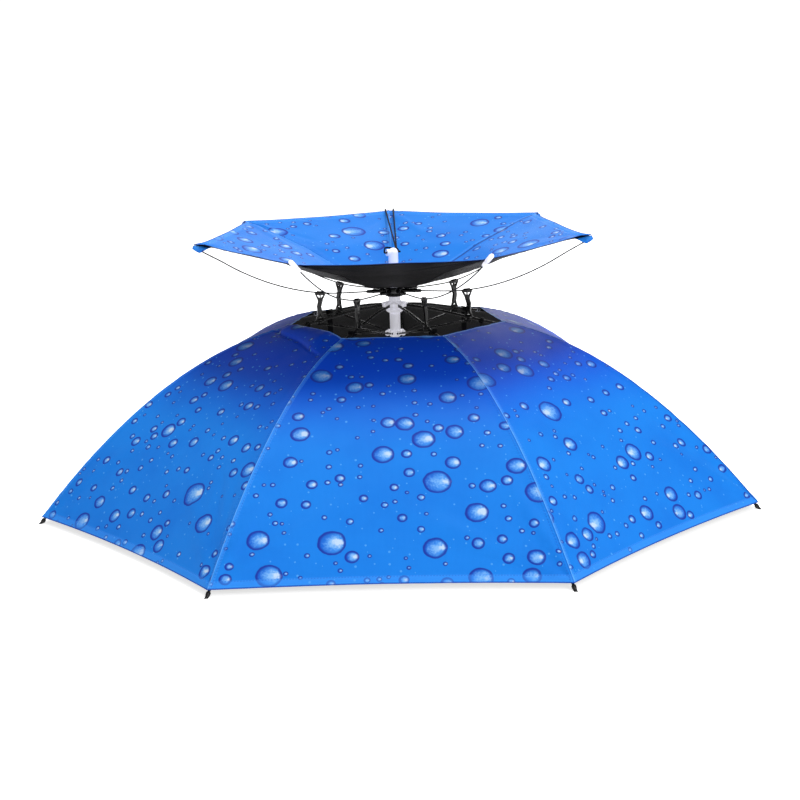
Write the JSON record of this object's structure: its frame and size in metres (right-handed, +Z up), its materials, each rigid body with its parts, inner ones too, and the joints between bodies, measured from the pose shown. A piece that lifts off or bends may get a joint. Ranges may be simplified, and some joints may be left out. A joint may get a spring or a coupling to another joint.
{
  "type": "umbrella hat",
  "caption": "Ribbed umbrella worn on the head by an elastic band, with a small second canopy above turned up like a bowl and held by a cord.",
  "frame": {"origin": "middle of the hat's outline on the surface that its rib ends stand on", "axes": "+Z up along the post, -Y towards the front of the hat, +X to the right seen from the front"},
  "size_m": [0.759, 0.74, 0.2948],
  "materials": {
    "canopy_cloth": "glossy woven polyester with a printed pattern of water drops, coated black inside",
    "white_plastic": "moulded white plastic",
    "black_plastic": "moulded black plastic",
    "rib_metal": "black enamelled spring steel",
    "elastic": "black braided elastic"
  },
  "bodies": {
    "root": {"lower_canopy": "canopy_cloth", "upper_canopy": "canopy_cloth", "post": "white_plastic", "crown": "white_plastic", "runner": "white_plastic", "finial": "white_plastic", "upper_hub": "black_plastic", "lower_rib_1": "rib_metal", "lower_rib_2": "rib_metal", "lower_rib_3": "rib_metal", "lower_rib_4": "rib_metal", "lower_rib_5": "rib_metal", "lower_rib_6": "rib_metal", "lower_rib_7": "rib_metal", "stretcher_1": "rib_metal", "stretcher_2": "rib_metal", "stretcher_3": "rib_metal", "stretcher_4": "rib_metal", "stretcher_5": "rib_metal", "stretcher_6": "rib_metal", "stretcher_7": "rib_metal", "strut_1": "black_plastic", "strut_2": "black_plastic", "strut_3": "black_plastic", "strut_4": "black_plastic", "strut_5": "black_plastic", "strut_6": "black_plastic", "strut_7": "black_plastic", "upper_rib_1": "rib_metal", "upper_rib_2": "rib_metal", "upper_rib_3": "rib_metal", "upper_rib_4": "rib_metal", "upper_rib_5": "rib_metal", "upper_rib_6": "rib_metal", "upper_rib_7": "rib_metal", "upper_tip_1": "white_plastic", "upper_tip_2": "white_plastic", "upper_tip_3": "white_plastic", "upper_tip_4": "white_plastic", "upper_tip_5": "white_plastic", "upper_tip_6": "white_plastic", "upper_tip_7": "white_plastic", "lower_tip_1": "black_plastic", "lower_tip_2": "black_plastic", "lower_tip_3": "black_plastic", "lower_tip_4": "black_plastic", "lower_tip_5": "black_plastic", "lower_tip_6": "black_plastic", "lower_tip_7": "black_plastic", "headband": "elastic", "hanger_1": "elastic", "hanger_2": "elastic", "hanger_3": "elastic", "hanger_4": "elastic", "hanger_5": "elastic", "hanger_6": "elastic", "hanger_7": "elastic", "elastic_cord": "elastic"}
  },
  "joints": []
}
